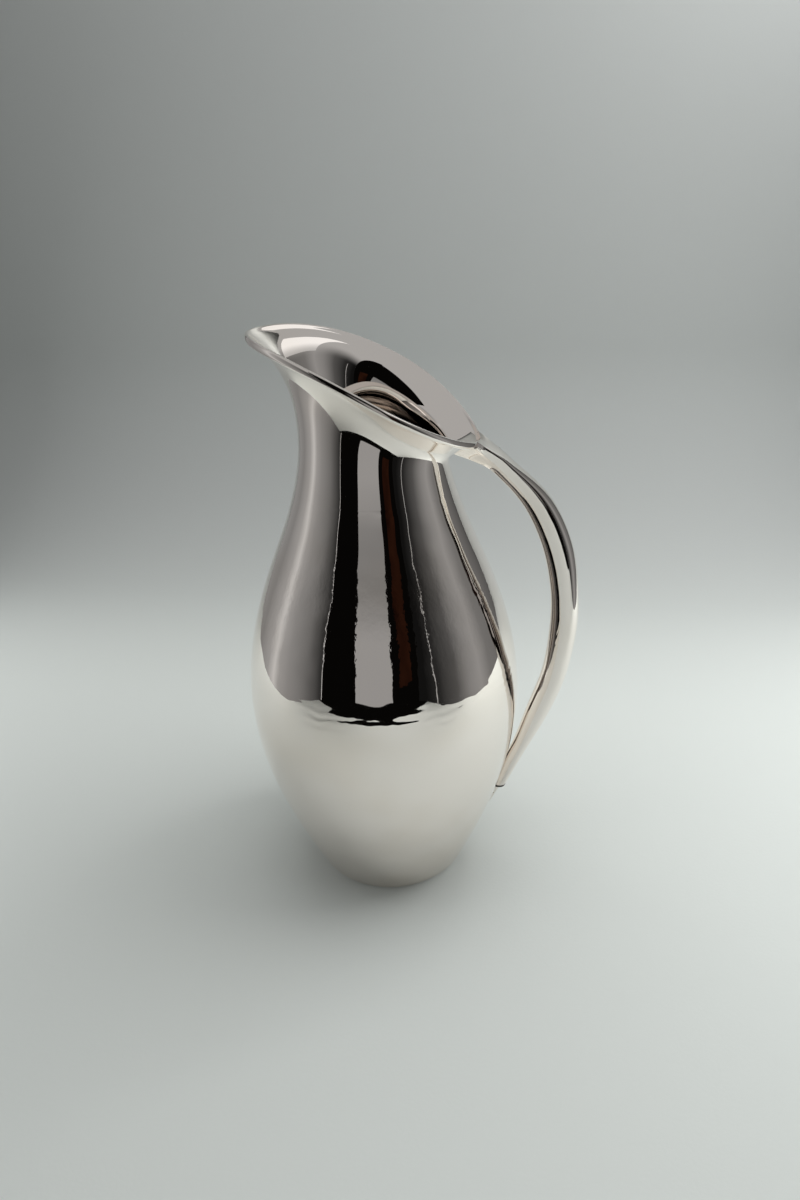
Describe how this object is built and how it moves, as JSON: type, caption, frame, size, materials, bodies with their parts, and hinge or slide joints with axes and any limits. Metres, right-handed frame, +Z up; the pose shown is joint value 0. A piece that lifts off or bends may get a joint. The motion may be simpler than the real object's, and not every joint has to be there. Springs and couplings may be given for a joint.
{
  "type": "water pitcher",
  "caption": "Pear-shaped silver water pitcher with a long neck, a lip that sweeps up into a spout and a hollow handle that grows out of its low side.",
  "frame": {"origin": "middle of the foot, on the surface that the pitcher stands on", "axes": "+Z up, +X towards the handle, -X towards the spout, +Y across; the XZ plane is the plane of symmetry"},
  "size_m": [0.1503, 0.125, 0.258],
  "materials": {
    "polished_body": "polished and lightly planished silver",
    "polished_lip": "polished silver",
    "rim": "burnished silver wire",
    "base": "satin silver with fine scratches from use",
    "handle": "polished silver"
  },
  "bodies": {
    "root": {"lower_body": "polished_body", "neck": "polished_body", "flared_lip": "polished_lip", "rim_wire": "rim", "base_disc": "base", "foot_ring": "base", "handle_root": "handle", "handle_back_strip": "handle", "handle_trough": "handle", "handle_end_plate": "handle", "handle_tail": "handle"}
  },
  "joints": []
}
